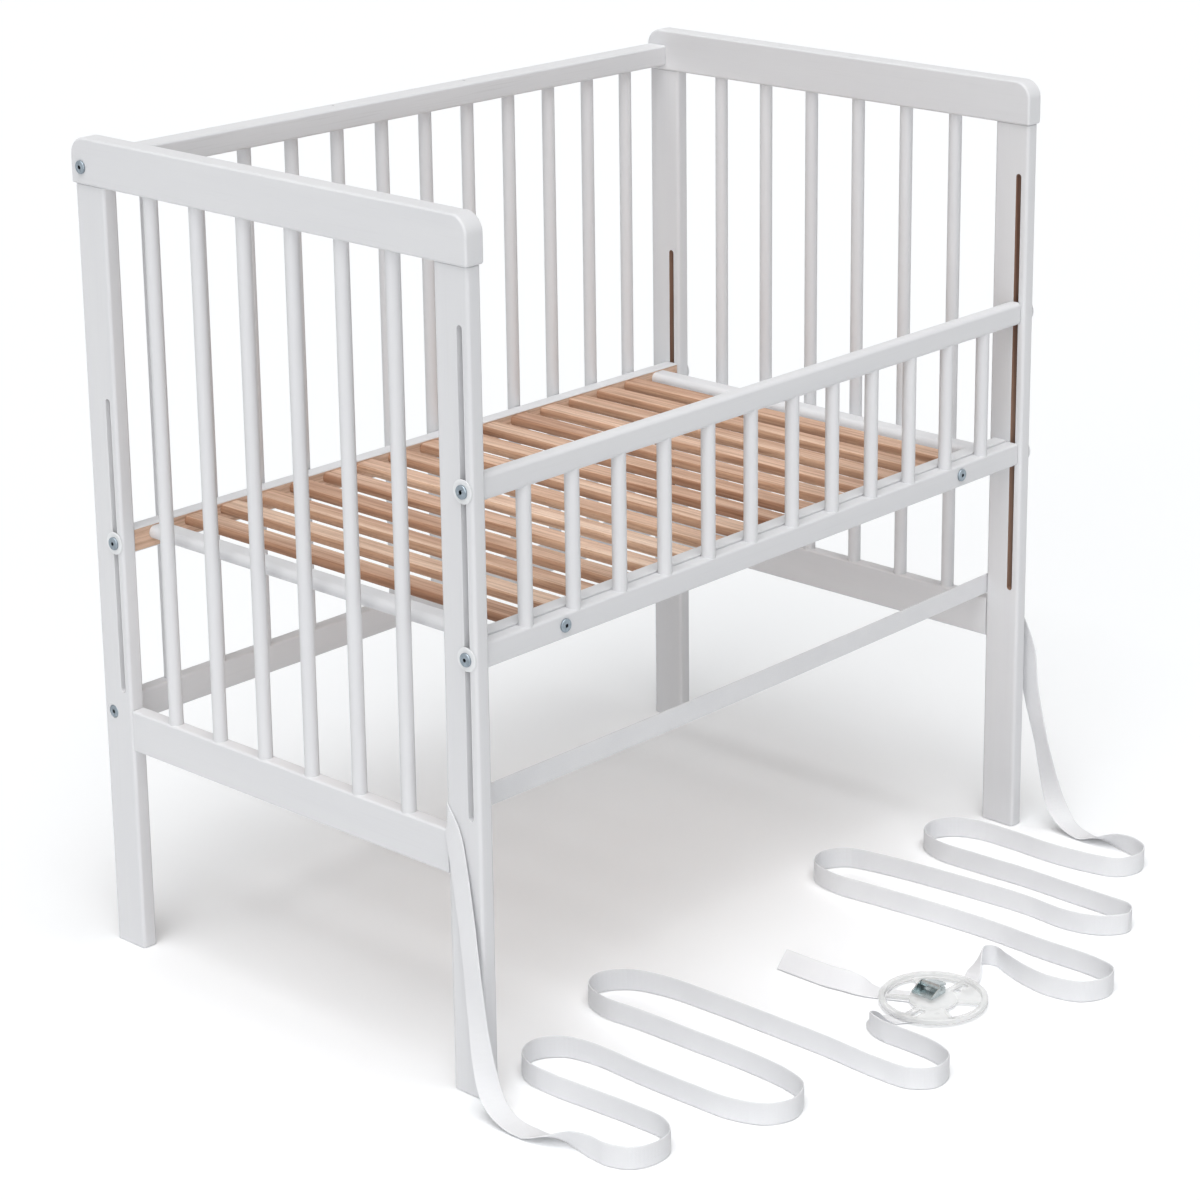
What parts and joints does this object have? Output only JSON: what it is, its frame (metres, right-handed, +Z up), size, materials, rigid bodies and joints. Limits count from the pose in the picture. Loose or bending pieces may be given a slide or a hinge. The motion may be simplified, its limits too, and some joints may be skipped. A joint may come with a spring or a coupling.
{
  "type": "bedside crib",
  "caption": "Bedside crib with spindle sides, a low gate and slatted base that slide in post slots, and a webbing strap with an anchor disc and cam buckle.",
  "frame": {"origin": "on the floor, in the middle of the crib without its strap", "axes": "+X along the length to the right end, -Y towards the low gate, +Z up"},
  "size_m": [1.0093, 0.9628, 0.948],
  "materials": {
    "painted_wood": "satin white paint",
    "beech": "sanded and oiled",
    "zinc": "zinc plated",
    "white_plastic": "matt",
    "clear_plastic": "translucent, slightly frosted",
    "webbing": "woven, matt",
    "steel": "plated"
  },
  "bodies": {
    "frame": {"left_front_post": "painted_wood", "left_rear_post": "painted_wood", "left_end_top_rail": "painted_wood", "left_end_bottom_rail": "painted_wood", "right_front_post": "painted_wood", "right_rear_post": "painted_wood", "right_end_top_rail": "painted_wood", "right_end_bottom_rail": "painted_wood", "back_top_rail": "painted_wood", "back_bottom_rail": "painted_wood", "left_back_top_bolt": "zinc", "left_back_bottom_bolt": "zinc", "right_back_top_bolt": "zinc", "right_back_bottom_bolt": "zinc", "strap_crossing": "webbing", "strap_left": "webbing", "strap_right": "webbing", "strap_tail": "webbing", "anchor_disc": "clear_plastic", "buckle_frame": "steel", "buckle_pin": "steel"},
    "gate_and_base": {"gate_top_rail": "painted_wood", "gate_bottom_rail": "painted_wood", "base_front_rail": "painted_wood", "base_rear_rail": "painted_wood", "base_left_cross_bar": "painted_wood", "base_right_cross_bar": "painted_wood", "slat_01": "beech", "slat_02": "beech", "slat_03": "beech", "slat_04": "beech", "slat_05": "beech", "slat_06": "beech", "slat_07": "beech", "slat_08": "beech", "slat_09": "beech", "slat_10": "beech", "slat_11": "beech", "slat_12": "beech", "slat_13": "beech", "slat_14": "beech", "slat_15": "beech", "left_gate_top_washer": "white_plastic", "left_gate_top_bolt": "zinc", "left_gate_bottom_washer": "white_plastic", "left_gate_bottom_bolt": "zinc", "left_base_rear_washer": "white_plastic", "left_base_rear_bolt": "zinc", "left_gate_to_base_bolt": "zinc", "right_gate_top_washer": "white_plastic", "right_gate_top_bolt": "zinc", "right_gate_bottom_washer": "white_plastic", "right_gate_bottom_bolt": "zinc", "right_base_rear_washer": "white_plastic", "right_base_rear_bolt": "zinc", "right_gate_to_base_bolt": "zinc"},
    "cam_lever": {"buckle_lever": "steel"}
  },
  "joints": [
    {"name": "base_height", "type": "slide", "parent": "frame", "child": "gate_and_base", "axis": [0, 0, 1], "range_m": [-0.155, 0.16]},
    {"name": "cam_lever", "type": "hinge", "parent": "frame", "child": "cam_lever", "pos_m": [0.02, -0.5075, 0.0131], "axis": [0, -1, 0], "range_deg": [0, 60]}
  ]
}
